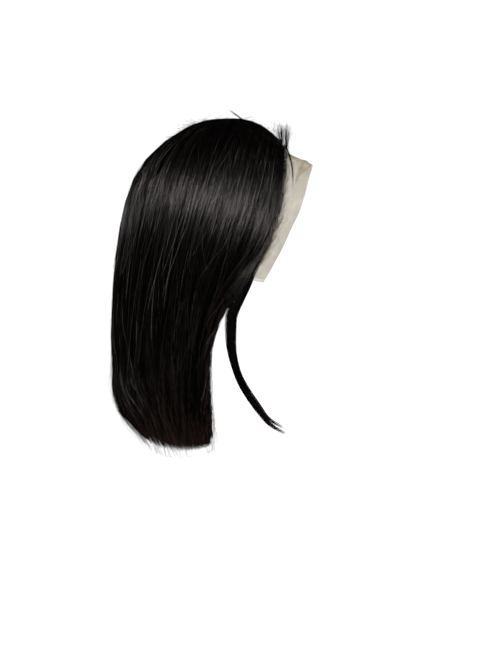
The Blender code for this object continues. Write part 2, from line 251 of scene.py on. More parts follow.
def ribbons(name, path, across, width, tone, rng, along=(0.0, 1.0), roll=None, lean=None):
    """Thin hairs as flat ribbons along paths, one row of points for each hair.

    Each ribbon is rolled about its path, and the light falls on it as on a round hair: its edges' normals
    splay. across is roughly the way out of the hair at each point, and width is each hair's full width, or
    that at each point. along is where its root and its tip lie in the map. lean tips the normals along the
    hair, as a slight wave in it would."""
    count, stations = path.shape[:2]
    tangent = unit(np.gradient(path, axis=1))
    side = unit(np.cross(tangent, across))
    out = np.cross(side, tangent)
    roll = rng.uniform(-FREE_ROLL, FREE_ROLL, count) if roll is None else np.clip(roll, -MOST_ROLL, MOST_ROLL)
    roll = roll[:, None, None]
    turned = side * np.cos(roll) + out * np.sin(roll)
    facing = np.cross(turned, tangent)
    s = np.linspace(0, 1, stations)
    taper = np.minimum(1.0, ROOT_WIDTH + s * ROOT_TAPER) * np.clip((TIP_PAST - s) * TIP_TAPER, TIP_WIDTH, 1.0)
    half = (0.5 * width.reshape(count, -1) * taper)[..., None] * turned
    points = np.stack([path - half, path + half], axis=2)
    if lean is not None:
        facing = unit(facing + tangent * lean[..., None])
    normals = unit(np.stack([facing - SPLAY * turned, facing + SPLAY * turned], axis=2))
    cell = np.floor(np.clip(tone, 0, 0.999) * TONE_STEPS)[:, None, None]
    u = (cell + np.array(TONE_CELL)) / TONE_STEPS + np.zeros((count, stations, 1))
    v = along[0] + (along[1] - along[0]) * s[None, :, None] + np.zeros_like(u)
    uv = np.stack([u, v], -1).reshape(-1, 2)
    number = np.arange(count * stations * 2).reshape(count, stations, 2)
    faces = np.stack([number[:, :-1, 0], number[:, :-1, 1], number[:, 1:, 1], number[:, 1:, 0]], -1)
    piece = grid_mesh(name, points.reshape(-1, 3), uv, faces.reshape(-1, 4), normals.reshape(-1, 3))
    piece.data.materials.append(hair)
    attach(piece, "root")
    return piece


# The side and back curtains.
# Some twenty thousand hairs fall from the parting, tied to lace and cap in front and sewn in wefts behind.
# They hang in small tresses that draw together at their tips, over a dark bed that stands for their depth.
SPLIT = 0.55  # share of the way round where knotted hair gives way to wefts
SIDE_LOCKS, BACK_LOCKS = 7.0, 5.0  # broad locks between the grooves, at a side and in half of the back
GROOVE_DEPTH = 0.0024
GROOVE_SWAY, GROOVE_SWING = 0.06, 0.7
GROOVE_RISE = (4.0, 5.0)  # levels at which the grooves deepen
HAIR_GAUGE = 0.00038
FINENESS = (0.6, 1.25)  # the finest and the coarsest hair, as shares of the gauge
SKIN = 0.0028  # depth of the loose hairs over the bed
STATIONS = 16

# How hairs gather in tresses
TRESSES_ROUND = 820  # on one side of the head, from the front edge to the middle of the back
TRESS_PLACE = (0.1, 0.9)  # where in its share of the way round a tress lies
TRESS_SPREAD = (0.7, 1.5)  # its width for that share
TRESS_SCATTER = 0.42  # how far its hairs stray from its middle, for its width
TRESS_SINK = 0.0011  # how much deeper the deepest one lies
TRESS_ROLL, HAIR_ROLL = 0.25, 0.5
TRESS_LEAN, EVEN_LEAN, UNRULY_LEAN = 0.02, 0.042, 0.11
UNRULY_SHARE = 0.035
TRESS_GATHER = 0.5
GATHER_RISE = (5.0, 9.0)

# How the hairs lie, from the root to the hem
ROOT_SCATTER = 0.25
SKIN_SPREAD = (1.1, 2.0)  # powers by which more hairs lie near the outside than deep
ROOT_SINK = 0.3
ROOT_RISE = (0.0, 0.7)
ROOTS_MEET = 0.0014  # how far the roots at the parting are moved to its middle
MEET_RISE = (0.0, 0.5)
SWAY, SWAY_SWING, STRAY = 0.006, 0.55, 0.007
SWAY_RISE = (2.0, 4.0)
EDGE_INSET = 0.036  # how far the hairs stay behind the hairline where the lace shows
INSET_RANGE = (0.35, 1.25)
INSET_BAND = 0.16
INSET_RISE, INSET_LOSS_RISE = (0.6, 1.2), (8.0, 1.4)  # levels at which the lace begins and ends
THIN_EDGE = 0.05  # share of the way round where the hairs fill the whole layer
TIP_STAGGER = 0.16
TIP_SHORT, TIP_SHORTEST = 0.15, 1.0  # levels by which hairs end above the hem, on average and at most
LINING_DEPTH = 0.5
HEM_SWEEP = 0.24  # how far forward the ends sweep, as a share of the way round
HEM_SKEW = 1.25  # above 1 the sweep is stronger behind the ear than before it
SWEEP_UNEVEN, SWEEP_SCATTER = 0.35, 0.3
SWEEP_RISE = (11.3, 3.2)

# How the light falls on them: a level, and how far hairs there shine as if tipped towards their ends
TILT_ROWS = (
    (0.0, 0.000),
    (2.5, -0.030),
    (4.5, -0.075),
    (5.5, -0.120),
    (6.3, -0.115),
    (7.0, -0.045),
    (7.5, 0.055),
    (8.0, 0.145),
    (9.0, 0.225),
    (10.0, 0.225),
    (11.0, 0.170),
    (12.5, 0.060),
    (14.0, 0.020),
)
TILT_SOONER = 0.8  # levels by which the tilt comes sooner behind the ear
SOONER_RISE = (0.35, 0.3)
TILT_LOST = 0.6  # share of it that is lost at the middle of the back
LOST_RISE = (0.72, 0.25)
WAVE_LEAN, LEAN_SWING = 0.015, 1.3
STREAKS = ((53.0, 0.8, 0.0), (79.0, -1.1, 2.0), (31.0, 0.5, 4.0))  # number round a side, drift a level, start
STREAK_LEAN = 0.024

# Their tones
HAIR_TONE, TRESS_TONE, TONE_SCATTER = 0.09, 0.17, 0.17
LIGHT_SHARE, LIGHT_TONES = 0.04, (0.6, 1.0)
BROWN_STREAKS = ((61.0, 1.0), (103.0, 2.2), (171.0, 0.0))  # number round a side, start
BROWN_STREAK = 0.085  # how much lighter each makes the hair


def grooves(around, level):
    """1 between two locks and 0 on a lock's back: 1 less the root of a sine with one arch for each lock."""
    at_side = around < SPLIT
    share = np.where(at_side, around / SPLIT, (around - SPLIT) / (1 - SPLIT))
    count = np.where(at_side, SIDE_LOCKS, BACK_LOCKS)
    phase = np.where(at_side, 0.0, 0.5)
    sway = GROOVE_SWAY * np.sin(GROOVE_SWING * level + 3.0 * phase)
    return 1 - np.sqrt(np.abs(np.sin(math.pi * (count * share + sway + phase))))


def tresses(count, start, end, rng):
    """For each hair its tress's middle, its own offset, its tress's depth, length, wave and dullness, and its
    own roll and lean. The tresses share out the way round evenly, each a little out of its place."""
    number = max(6, int(round(TRESSES_ROUND * (end - start))))
    middle = start + (end - start) * (np.arange(number) + rng.uniform(*TRESS_PLACE, number)) / number
    chosen = rng.integers(0, number, count)
    spread = (end - start) / number * rng.uniform(*TRESS_SPREAD, number)
    offset = rng.normal(0, TRESS_SCATTER, count) * spread[chosen]
    sink = rng.uniform(0, TRESS_SINK, number)[chosen]
    shorter = rng.uniform(0, 1, number)[chosen]
    wave = rng.uniform(0, 2 * math.pi, number)[chosen]
    dull = rng.exponential(1.0, number)[chosen] - 0.6
    roll = rng.normal(0, TRESS_ROLL, number)[chosen] + rng.normal(0, HAIR_ROLL, count)
    unruly = np.where(rng.uniform(0, 1, count) < UNRULY_SHARE, UNRULY_LEAN, EVEN_LEAN)
    lean = rng.normal(0, TRESS_LEAN, number)[chosen] + rng.normal(0, 1, count) * unruly
    return middle[chosen], offset, sink, shorter, wave, dull, roll, lean


def tilt(around, level):
    """The tip of the light: hair bellies out over the ears and draws in below them, less so at the back."""
    rows = np.asarray(TILT_ROWS)
    sooner = level + TILT_SOONER * rise(around, *SOONER_RISE)
    return np.interp(sooner, rows[:, 0], rows[:, 1]) * (1 - TILT_LOST * rise(around, *LOST_RISE))


def curtain_hairs(count, start, end, side, rng, inner=False, first_level=0.0):
    """Paths of one curtain's hairs and the way out of the hair along them: each is a line down the contours.

    The place round the head is the tress's middle plus the hair's offset, which shrinks towards the hem. The
    depth is the hair's own place in the skin of loose hairs, with the roots and the grooves sunk deeper."""
    middle, offset, sink, shorter, wave, dull, roll, lean = tresses(count, start, end, rng)
    s = np.linspace(0, 1, STATIONS)[None, :]
    last = LAST_LEVEL - TIP_STAGGER * shorter - np.minimum(rng.exponential(TIP_SHORT, count), TIP_SHORTEST)
    first = first_level + rng.uniform(0, ROOT_SCATTER, count) ** 2
    level = first[:, None] + (last - first)[:, None] * s
    gather = 1 - TRESS_GATHER * rise(level, *GATHER_RISE)
    sway = SWAY * np.sin(SWAY_SWING * level + wave[:, None]) * rise(level, *SWAY_RISE)
    stray = rng.normal(0, 1, (count, 1)) * STRAY * (level / LAST_LEVEL) ** 2
    around = middle[:, None] + offset[:, None] * gather + sway + stray
    eager = HEM_SWEEP * (1 + SWEEP_UNEVEN * np.sin(3 * wave) + rng.normal(0, SWEEP_SCATTER, count))[:, None]
    swept = np.sin(math.pi * np.clip(around, 0, 1) ** HEM_SKEW) * rise(level, *SWEEP_RISE)
    around = np.abs(around - eager * swept)
    by_lace = rise(level, *INSET_RISE) * (1 - rise(level, *INSET_LOSS_RISE))
    inset = EDGE_INSET * rng.uniform(*INSET_RANGE, (count, 1)) * np.clip(1 - around / INSET_BAND, 0, 1) ** 2
    around = around + inset * by_lace
    deep = layer(around, level)
    within = rng.beta(*SKIN_SPREAD, count)[:, None] * SKIN + sink[:, None]
    within = within + smooth_step(1 - around / THIN_EDGE) * rng.uniform(0, 1, (count, 1)) * deep
    root = (1 - rise(level, *ROOT_RISE)) * ROOT_SINK * deep
    depth = within + root + GROOVE_DEPTH * grooves(around, level) * rise(level, *GROOVE_RISE)
    if inner:
        depth = deep - rng.uniform(0, LINING_DEPTH, (count, 1)) * SKIN
    depth = np.minimum(depth, deep)
    out = hair_normal(around, level)
    path = hair_surface(around, level) - out * depth[..., None]
    path[..., 1] += (1 - rise(level, *MEET_RISE)) * ROOTS_MEET
    path[..., 1] *= side
    out[..., 1] *= side
    light = rng.uniform(0, 1, count) < LIGHT_SHARE
    tone = HAIR_TONE + TRESS_TONE * dull + rng.normal(0, TONE_SCATTER, count)
    for strands, start_at in BROWN_STREAKS:
        tone = tone + BROWN_STREAK * np.sin(2 * math.pi * strands * (middle + offset) + start_at)
    tone = np.clip(np.where(light, rng.uniform(*LIGHT_TONES, count), tone), 0, 1)
    lean = lean[:, None] + WAVE_LEAN * np.sin(LEAN_SWING * level + 2.3 * wave[:, None])
    for strands, drift, start_at in STREAKS:
        lean = lean + STREAK_LEAN * np.sin(2 * math.pi * strands * around + drift * level + start_at)
    if not inner:
        lean = lean + tilt(around, level)
    return path, (-out if inner else out), tone, roll, lean


BED_START = 0.15  # level at which the bed begins beside the parting
BED_SHORT, BED_BACK_DROP = 0.4, 0.32  # levels by which it ends above the hem, and goes lower behind
BACK_DROP_RISE = (SPLIT, 0.22)
BED_ROOT_RISE = (0.0, 0.8)
BED_RIPPLE, BED_RIPPLES = 0.35, 330.0
BED_DEEPEST, BED_ROOT_DEEPER = 0.6, 0.25  # how deep its top may lie, as a share of the layer, and at the root
BED_LINED, BED_LINED_MOST = 0.35, 0.2  # how far inside the layer it ends: share of the skin, or of the layer
BED_TONE, BED_STREAK, BED_STREAKS = 0.06, 0.05, 700.0
BED_ROWS, BED_COLUMNS = 44, 36


def hair_bed(name, start, end, side, node):
    """The dark middle of a curtain: two sheets under its loose hairs, closed along every edge.

    The upper sheet follows the skin of hairs and the grooves, the lower one the inside of the layer."""
    down, way_round = np.linspace(0, 1, BED_ROWS), np.linspace(start, end, BED_COLUMNS)
    down, around = np.meshgrid(down, way_round, indexing="ij")
    last = LAST_LEVEL - BED_SHORT + BED_BACK_DROP * rise(around, *BACK_DROP_RISE)
    level = BED_START + (last - BED_START) * down
    deep = layer(around, level)
    ripple = BED_RIPPLE * SKIN * np.sin(around * BED_RIPPLES) * rise(level, *SWAY_RISE)
    at_root = 1 - rise(level, *BED_ROOT_RISE)
    top = SKIN + ripple + GROOVE_DEPTH * grooves(around, level) * rise(level, *GROOVE_RISE)
    top = np.minimum(top + at_root * ROOT_SINK * deep, (BED_DEEPEST + BED_ROOT_DEEPER * at_root) * deep)
    bottom = deep - np.minimum(BED_LINED * SKIN, BED_LINED_MOST * deep)
    out = hair_normal(around, level)
    surface = hair_surface(around, level)
    sheets = np.stack([surface - out * top[..., None], surface - out * bottom[..., None]])
    sheets[..., 1] = side * np.minimum(sheets[..., 1], 0.0)
    number = np.arange(sheets[..., 0].size).reshape(2, BED_ROWS, BED_COLUMNS)
    quads = []
    for sheet, turned in ((number[0], side < 0), (number[1], side > 0)):
        quad = np.stack([sheet[:-1, :-1], sheet[1:, :-1], sheet[1:, 1:], sheet[:-1, 1:]], -1).reshape(-1, 4)
        quads.append(quad[:, ::-1] if turned else quad)
    rims = (
        (number[:, 0, :], False),
        (number[:, -1, :], True),
        (number[:, :, 0], True),
        (number[:, :, -1], False),
    )
    for (outer, inner), turned in rims:
        quad = np.stack([outer[:-1], outer[1:], inner[1:], inner[:-1]], -1)
        quads.append(quad[:, ::-1] if turned != (side < 0) else quad)
    tone_u = BED_TONE + BED_STREAK * np.sin(around * BED_STREAKS)
    uv = np.stack([tone_u, level / LAST_LEVEL], -1)
    uv = np.concatenate([uv.reshape(-1, 2)] * 2)
    fall = unit(np.gradient(sheets[0], axis=0))
    out[..., 1] *= side
    normals = np.stack([unit(out + fall * tilt(around, level)[..., None]), -out]).reshape(-1, 3)
    bed = grid_mesh(name, sheets.reshape(-1, 3), uv, np.concatenate(quads), normals)
    bed.data.materials.append(hair)
    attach(bed, "root")
    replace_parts(bed, node)


SIDES = (("right", 1), ("left", -1))
LINING_GAUGE = 1.6
# Names of each curtain's hairs and bed, and where round the head the bed starts, the hairs start and both end
CURTAINS = (("side_hair", "hair_bed", 0.05, 0.0, SPLIT), ("weft_hair", "weft_bed", SPLIT, SPLIT, 1.0))
# Its number of hairs, their gauge, the number that line it, the level and the map place where these start, seed
CURTAIN_COUNTS = ((5900, 1.00, 800, 6.5, 0.45, 11), (3500, 1.15, 600, 7.5, 0.50, 21))
for (hairs_name, bed_name, bed_start, start, end), counts in zip(CURTAINS, CURTAIN_COUNTS):
    count, gauge, lining, lining_level, lining_map, seed = counts
    for name, side in SIDES:
        rng = np.random.default_rng(seed if side > 0 else seed + 1)
        node = f"knotted_hair_{name}" if hairs_name == "side_hair" else "weft_hair_back"
        hair_bed(f"{bed_name}_{name}", bed_start, end, side, node)
        path, out, tone, roll, lean = curtain_hairs(count, start, end, side, rng)
        width = gauge * HAIR_GAUGE * rng.uniform(*FINENESS, count)
        curtain = ribbons(f"{hairs_name}_{name}", path, out, width, tone, rng, (0.0, 1.0), roll, lean)
        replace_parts(curtain, node)
        path, out, tone, roll, lean = curtain_hairs(
            lining, start, end, side, rng, inner=True, first_level=lining_level
        )
        width = LINING_GAUGE * HAIR_GAUGE * rng.uniform(*FINENESS, lining)
        inside = ribbons(
            f"{hairs_name}_lining_{name}", path, out, width, tone, rng, (lining_map, 1.0), roll, lean
        )
        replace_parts(inside, node)


# The thin locks at the sides.
# On each side a lock from the lower hairline hangs clear of the curtain and sweeps forward at its tip.
# Its hairs lie side by side in a flat bundle that opens at the end.
LOCK_WIDTH = 0.0115
LOCK_THICKNESS = 0.006
LOCK_HAIRS = 300
LOCK_GAUGE = 0.9
LOCK_STATIONS = 22
LOCK_ROOTS = (0.3, 3.2)  # rows between which its hairs start
LOCK_SHORT, LOCK_SHORTEST = 0.8, 3.5  # rows by which they end before the tip
LOCK_CORE = 0.02  # share of its section, about the middle, without a hair
LOCK_PROUD = 1.6  # how much more its hairs face out of its flat sides than along them
LOCK_LEAN = 0.35  # how far the light on its lower half is that of hairs tipped towards their ends
LOCK_LEAN_RISE = (6.5, 3.5)
LOCK_TONE, LOCK_TONE_SCATTER, LOCK_ROLL = 0.42, 0.2, 0.3
LOCK_NAMES = ("x", "y", "z", "width", "thick")
LOCK_ROWS = (
    (0.240, 0.775, 0.040, 0.25, 0.30),
    (0.182, 0.810, 0.135, 0.50, 0.40),
    (0.120, 0.840, 0.215, 0.75, 0.50),
    (0.078, 0.848, 0.280, 1.00, 0.60),
    (0.038, 0.838, 0.345, 1.20, 0.90),
    (0.002, 0.820, 0.415, 1.10, 1.00),
    (-0.005, 0.800, 0.470, 0.95, 1.00),
    (-0.004, 0.785, 0.540, 0.84, 0.95),
    (0.008, 0.760, 0.610, 0.74, 0.90),
    (0.039, 0.725, 0.690, 0.67, 0.85),
    (0.090, 0.690, 0.760, 0.60, 0.75),
    (0.157, 0.655, 0.832, 0.50, 0.60),
    (0.214, 0.630, 0.885, 0.36, 0.45),
    (0.300, 0.600, 0.925, 0.30, 0.45),
)


def lock_hairs(side, rng):
    """Paths of a lock's hairs: its middle line plus each hair's offset in its oval section, which wanders."""
    first = rng.uniform(*LOCK_ROOTS, LOCK_HAIRS)
    end = len(LOCK_ROWS) - 1 - np.minimum(rng.exponential(LOCK_SHORT, LOCK_HAIRS), LOCK_SHORTEST)
    place = first[:, None] + (end - first)[:, None] * np.linspace(0, 1, LOCK_STATIONS)[None, :]
    section = named_columns(LOCK_NAMES, LOCK_ROWS, place)
    x, y = section["x"] * HAIR_DEPTH, -section["y"] * HAIR_WIDTH / 2
    path = np.stack([x, y, EAR_Z - section["z"] * CURTAIN_DROP], axis=-1)
    along = unit(np.gradient(path, axis=1))
    flat = unit(np.cross(along, [0.0, 1.0, 0.0]))
    proud = np.cross(along, flat)
    turn = rng.uniform(0, 2 * math.pi, (LOCK_HAIRS, 1))
    reach = np.sqrt(rng.uniform(LOCK_CORE, 1, (LOCK_HAIRS, 1)))
    wander = 1 + 0.10 * np.sin(place * 0.9 + 3 * turn) + 0.12 * np.sin(place * 1.4 + 12 * reach)
    across = (np.cos(turn) * reach * wander * section["width"] * LOCK_WIDTH / 2)[..., None]
    deep = (np.sin(turn) * reach * wander * section["thick"] * LOCK_THICKNESS / 2)[..., None]
    path = path + flat * across + proud * deep
    out = unit(flat * np.cos(turn)[..., None] + proud * np.sin(turn)[..., None] * LOCK_PROUD)
    path[..., 1] *= side
    out[..., 1] *= side
    fineness = np.sqrt(np.minimum(section["width"], 1.0))
    return path, out, fineness, LOCK_LEAN * rise(place, *LOCK_LEAN_RISE)


for name, side in SIDES:
    rng = np.random.default_rng(31 if side > 0 else 32)
    path, out, fineness, lean = lock_hairs(side, rng)
    tone = np.clip(rng.normal(LOCK_TONE, LOCK_TONE_SCATTER, LOCK_HAIRS), 0, 1)
    width = LOCK_GAUGE * HAIR_GAUGE * rng.uniform(*FINENESS, (LOCK_HAIRS, 1)) * fineness
    roll = rng.normal(0, LOCK_ROLL, LOCK_HAIRS)
    lock = ribbons(f"face_lock_{name}_hairs", path, out, width, tone, rng, (0.5, 1.0), roll, lean)
    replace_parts(lock, f"face_lock_{name}")


# The lace front.
# Sheer beige net runs from ear to ear along the hairline and stands free of it, uncut and not glued down.
# It is a bare-cut strip of hexagonal net, whose inner edge is sewn to the cap under the hair.
LACE_REACH = 0.035
LACE_TUCK = 0.011  # how far it runs in under the hair
LACE_ROWS = (  # level, and how far the free edge goes forward, inward and down, as shares of the reach
    (0.0, 0.88, 0.00, 0.42),
    (1.0, 0.87, 0.07, 0.43),
    (2.0, 0.86, 0.17, 0.40),
    (3.0, 0.80, 0.27, 0.32),
    (4.0, 0.74, 0.30, 0.20),
    (5.0, 0.67, 0.30, 0.12),
    (6.0, 0.57, 0.26, 0.08),
    (7.0, 0.47, 0.20, 0.05),
    (8.0, 0.46, 0.15, 0.05),
    (8.9, 0.60, 0.10, 0.13),
)
LACE_END = len(LACE_ROWS) - 1.0
EDGE_STEPS = 400
ROUND_HEAD = 0.26  # metres of hair surface for the whole way round one side
LACE_BOW, BOW_RISE = 0.06, (0.0, 4.0)
LACE_FOLD, FOLD_LEVEL, FOLD_WIDTH = 0.003, 1.6, 0.6
LACE_CREASES = (  # height, level at the hairline, turn across, width, start across
    (0.0013, 9.50, -11.7, 0.60, 0.40),
    (-0.0011, 6.45, -5.5, 0.35, 0.44),
)
CREASE_SHARPNESS = 8
LACE_RIPPLE, RIPPLE_TURN = 0.0007, 4.3
NET_CELL = 0.00078  # side of one hexagon
NET_THREAD = 0.00022
LACE_COLOUR = (0.33, 0.27, 0.175)
LACE_DARKER, LACE_PALER = 0.84, 1.12
LACE_ROUGHNESS = 0.62
LACE_FILM_ALPHA = 0.26
CREASE_ALPHA = 0.5  # how much denser the net looks where it is folded on itself
FILM_ALONG, FILM_ACROSS = 200, 24


def lace_edge(place):
    """The hairline end of the lace at fractional rows: its level, root, way forward, width and line down."""
    level, forward, inward, down = np.moveaxis(through(LACE_ROWS, place), -1, 0)
    level = np.clip(level, 0, LACE_ROWS[-1][0])
    middle = layer(0.0, level) + LAYER_GAP + CAP_WALL / 2
    root = hair_surface(0.0, level) - hair_normal(0.0, level) * middle[..., None]
    reach = LACE_REACH * np.stack([forward, inward, -down], -1)
    width = np.linalg.norm(reach, axis=-1)
    return level, root, reach / width[..., None], width, np.gradient(root, axis=0)


EDGE_PLACES = np.linspace(0, LACE_END, EDGE_STEPS)
EDGE_LEVEL, EDGE_ROOT, EDGE_FORWARD, EDGE_WIDTH, edge_line = lace_edge(EDGE_PLACES)
EDGE_UPRIGHT = np.cross(EDGE_FORWARD, edge_line)
EDGE_UPRIGHT[0, 1] = 0.0
EDGE_UPRIGHT = unit(EDGE_UPRIGHT)
EDGE_UPRIGHT *= np.sign(EDGE_UPRIGHT[:, 2:3] - 0.2 * EDGE_UPRIGHT[:, 1:2])  # up, or else out to the side


def along_edge(values, place):
    """A value kept for each place along the hairline, read between them."""
    return np.stack([np.interp(place, EDGE_PLACES, column) for column in np.atleast_2d(values.T)], -1)


def crease_line(level, share, row):
    """1 on a crease and 0 away from it: a bell across its line, which slants on its way out."""
    _, start, turn, wide, near = row
    bell = np.exp(-(((level - start - turn * share) / wide) ** 2))
    return bell * smooth_step((share - near) * CREASE_SHARPNESS)


def lace_point(place, out):
    """A point of the right half of the lace: out is its distance past the hairline, below 0 under the hair.

    Past the hairline it goes straight to the free edge, with a low bow, a fold, creases and faint ripples."""
    width = along_edge(EDGE_WIDTH, place)[..., 0]
    share = np.clip(out / width, 0, 1)
    upright = along_edge(EDGE_UPRIGHT, place)
    level = along_edge(EDGE_LEVEL, place)[..., 0]
    free = along_edge(EDGE_ROOT, place) + along_edge(EDGE_FORWARD, place) * np.maximum(out, 0)[..., None]
    bow = LACE_BOW * LACE_REACH * np.sin(math.pi * share) * rise(level, *BOW_RISE)
    fold = LACE_FOLD * np.exp(-(((level - FOLD_LEVEL) / FOLD_WIDTH) ** 2)) * share
    crease = sum(row[0] * crease_line(level, share, row) for row in LACE_CREASES)
    ripple = LACE_RIPPLE * np.sin(place * RIPPLE_TURN + 2.0 * share) * share
    free = free + upright * (bow + fold + crease + ripple)[..., None]
    around = np.maximum(-out, 0) / ROUND_HEAD
    depth = layer(around, level) + LAYER_GAP + CAP_WALL / 2
    tucked = hair_surface(around, level) - hair_normal(around, level) * depth[..., None]
    return np.where((out < 0)[..., None], tucked, free)


def both_sides(points):
    """The points and their mirror images across the middle of the head."""
    return np.concatenate([points, points * [1.0, -1.0, 1.0]])


def hexagon_net(length, near, far, cell):
    """Both ends of every thread of a hexagonal net in a flat strip, as (along, out) pairs.

    Each hexagon's middle owns three of its sides, so that no side is laid twice."""
    pitch = cell * math.sqrt(3)
    rows = np.arange(int((far - near) / (1.5 * cell)) + 2)
    columns = np.arange(int(length / pitch) + 2)
    column, row = np.meshgrid(columns, rows, indexing="ij")
    middle = np.stack([(column + 0.5 * (row % 2)) * pitch, near + row * 1.5 * cell], -1).reshape(-1, 2)
    corner = np.array([[pitch / 2, -cell / 2], [pitch / 2, cell / 2], [0, cell], [-pitch / 2, cell / 2]])
    start = middle[:, None] + corner[None, :3]
    end = middle[:, None] + corner[None, 1:]
    return start.reshape(-1, 2), end.reshape(-1, 2)


def side_map(points):
    """Map coordinates from the side: u along the head's depth, v up it, the left side's above the right's."""
    low, high = points.min(axis=0), points.max(axis=0)
    u, _, v = ((points - low) / (high - low)).T
    return np.stack([u, 0.5 * v + 0.5 * (points[:, 1] > 0)], -1)


def threads(name, start, end, thickness, material):
    """Straight threads as three-sided rods between paired points."""
    along = unit(end - start)
    first = unit(np.cross(along, [0.31, 0.47, 0.82]))  # any way that no thread runs
    second = np.cross(along, first)
    turn = 2 * math.pi * np.arange(3) / 3
    ring = np.cos(turn)[None, :, None] * first[:, None] + np.sin(turn)[None, :, None] * second[:, None]
    points = np.stack([start[:, None] + ring * thickness / 2, end[:, None] + ring * thickness / 2], 1)
    number = np.arange(len(start) * 6).reshape(-1, 2, 3)
    beside = np.roll(number, -1, axis=2)
    faces = np.stack([number[:, 0], beside[:, 0], beside[:, 1], number[:, 1]], -1).reshape(-1, 4)
    points = points.reshape(-1, 3)
    piece = grid_mesh(name, points, side_map(points), faces)
    piece.data.materials.append(material)
    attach(piece, "root")
    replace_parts(piece, "lace_front")
    return piece


def lace_material(name, alpha, crease=0.0):
    """Beige polyester thread, a little uneven in colour, with a soft shine; creases are denser."""
    made = bpy.data.materials.new(name)
    made.use_nodes = True
    nodes, links = made.node_tree.nodes, made.node_tree.links
    surface = nodes["Principled BSDF"]
    place = nodes.new("ShaderNodeTexCoord")
    clouds = nodes.new("ShaderNodeTexNoise")
    clouds.inputs["Scale"].default_value = 120.0
    clouds.inputs["Detail"].default_value = 4.0
    colours = nodes.new("ShaderNodeValToRGB")
    colours.color_ramp.elements[0].position = 0.3
    colours.color_ramp.elements[0].color = (*[LACE_DARKER * c for c in LACE_COLOUR], 1)
    colours.color_ramp.elements[1].position = 0.7
    colours.color_ramp.elements[1].color = (*[LACE_PALER * c for c in LACE_COLOUR], 1)
    links.new(place.outputs["Object"], clouds.inputs["Vector"])
    links.new(clouds.outputs["Fac"], colours.inputs["Fac"])
    links.new(colours.outputs["Color"], surface.inputs["Base Color"])
    surface.inputs["Roughness"].default_value = LACE_ROUGHNESS
    surface.inputs["Alpha"].default_value = alpha
    if crease > 0:
        creased = nodes.new("ShaderNodeAttribute")
        creased.attribute_name = "crease"
        density = nodes.new("ShaderNodeMapRange")
        density.inputs["To Min"].default_value = alpha
        density.inputs["To Max"].default_value = alpha + crease
        links.new(creased.outputs["Fac"], density.inputs["Value"])
        links.new(density.outputs["Result"], surface.inputs["Alpha"])
    return made


# The threads of the net
edge_length = np.concatenate([[0], np.cumsum(np.linalg.norm(np.diff(EDGE_ROOT, axis=0), axis=1))])
thread_start, thread_end = hexagon_net(edge_length[-1], -LACE_TUCK, EDGE_WIDTH.max(), NET_CELL)
places = [np.interp(end[:, 0], edge_length, EDGE_PLACES) for end in (thread_start, thread_end)]
widths = [along_edge(EDGE_WIDTH, place)[:, 0] for place in places]
kept = (thread_start[:, 1] < widths[0]) & (thread_end[:, 1] < widths[1])
kept &= (thread_start[:, 0] < edge_length[-1]) & (thread_end[:, 0] < edge_length[-1])
thread_start = both_sides(lace_point(places[0][kept], thread_start[kept, 1]))
thread_end = both_sides(lace_point(places[1][kept], thread_end[kept, 1]))
lace_net = threads("lace_net", thread_start, thread_end, NET_THREAD, lace_material("lace_thread", 1.0))

# The haze that threads finer than these make together, denser in the creases
place, out = np.meshgrid(np.linspace(0, LACE_END, FILM_ALONG), np.linspace(0, 1, FILM_ACROSS), indexing="ij")
free_width = along_edge(EDGE_WIDTH, place)[..., 0]
out = -LACE_TUCK + out * (LACE_TUCK + free_width)
film = lace_point(place, out)
share = np.clip(out / free_width, 0, 1)
edge_level = along_edge(EDGE_LEVEL, place)[..., 0]
folded = np.max([crease_line(edge_level, share, row) * (share > 0) for row in LACE_CREASES], axis=0) ** 2
film = np.concatenate([film[:0:-1] * [1.0, -1.0, 1.0], film])
folded = np.concatenate([folded[:0:-1], folded]).ravel().astype(np.float32)
number = np.arange(film[..., 0].size).reshape(film.shape[:2])
faces = np.stack([number[:-1, :-1], number[:-1, 1:], number[1:, 1:], number[1:, :-1]], -1).reshape(-1, 4)
film_u, film_v = np.meshgrid(np.linspace(0, 1, len(film)), np.linspace(0, 1, FILM_ACROSS), indexing="ij")
film_uv = np.stack([film_u, film_v], -1).reshape(-1, 2)
lace_film = grid_mesh("lace_front_sheet", film.reshape(-1, 3), film_uv, faces)
lace_film.data.attributes.new("crease", "FLOAT", "POINT").data.foreach_set("value", folded)
lace_film.data.materials.append(lace_material("lace_haze", LACE_FILM_ALPHA, CREASE_ALPHA))
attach(lace_film, "root")
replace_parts(lace_film, "lace_front")


# The net cap.
# A dark stretch-net cap carries the hair: wefts are sewn on in rows behind the ears, over a soft edge band.
# It is a thin shell under the hair, with the rows and the band standing out on its inside.
CAP_RIM = ((0.00, 8.7), (0.10, 8.3), (0.22, 7.1), (0.42, 7.3), (0.70, 8.3), (1.00, 9.1))  # way round, level
CAP_FRONT = 0.035  # share of the way round where the lace takes over
CAP_COLUMNS, CAP_LINES = 64, 48
TRACK_LEVELS = np.arange(1.6, 8.6, 0.62)
TRACK_START = 0.42  # share of the way round where the rows begin
TRACK_WIDTH, TRACK_HEIGHT = 0.0026, 0.0009
TRACK_STEP = 0.026  # metres from one level to the next where the rows are
TRACK_ABOVE_RIM = 0.3
TRACK_COLUMNS, TRACK_LINES = 44, 5
BAND_WIDTH, BAND_HEIGHT = 0.007, 0.0013
BAND_STEP = 0.030  # metres from one level to the next at the rim
BAND_LINES = 7
CAP_COLOUR = (0.012, 0.010, 0.009)
HOLE_DARKER, KNIT_PALER = 0.35, 1.5
WELD = 1e-5


def cap_rim(around):
    """The level that the cap reaches at each place round its rim."""
    rim = np.asarray(CAP_RIM)
    return through(rim[:, 1:], np.interp(around, rim[:, 0], np.arange(len(rim))))[..., 0]


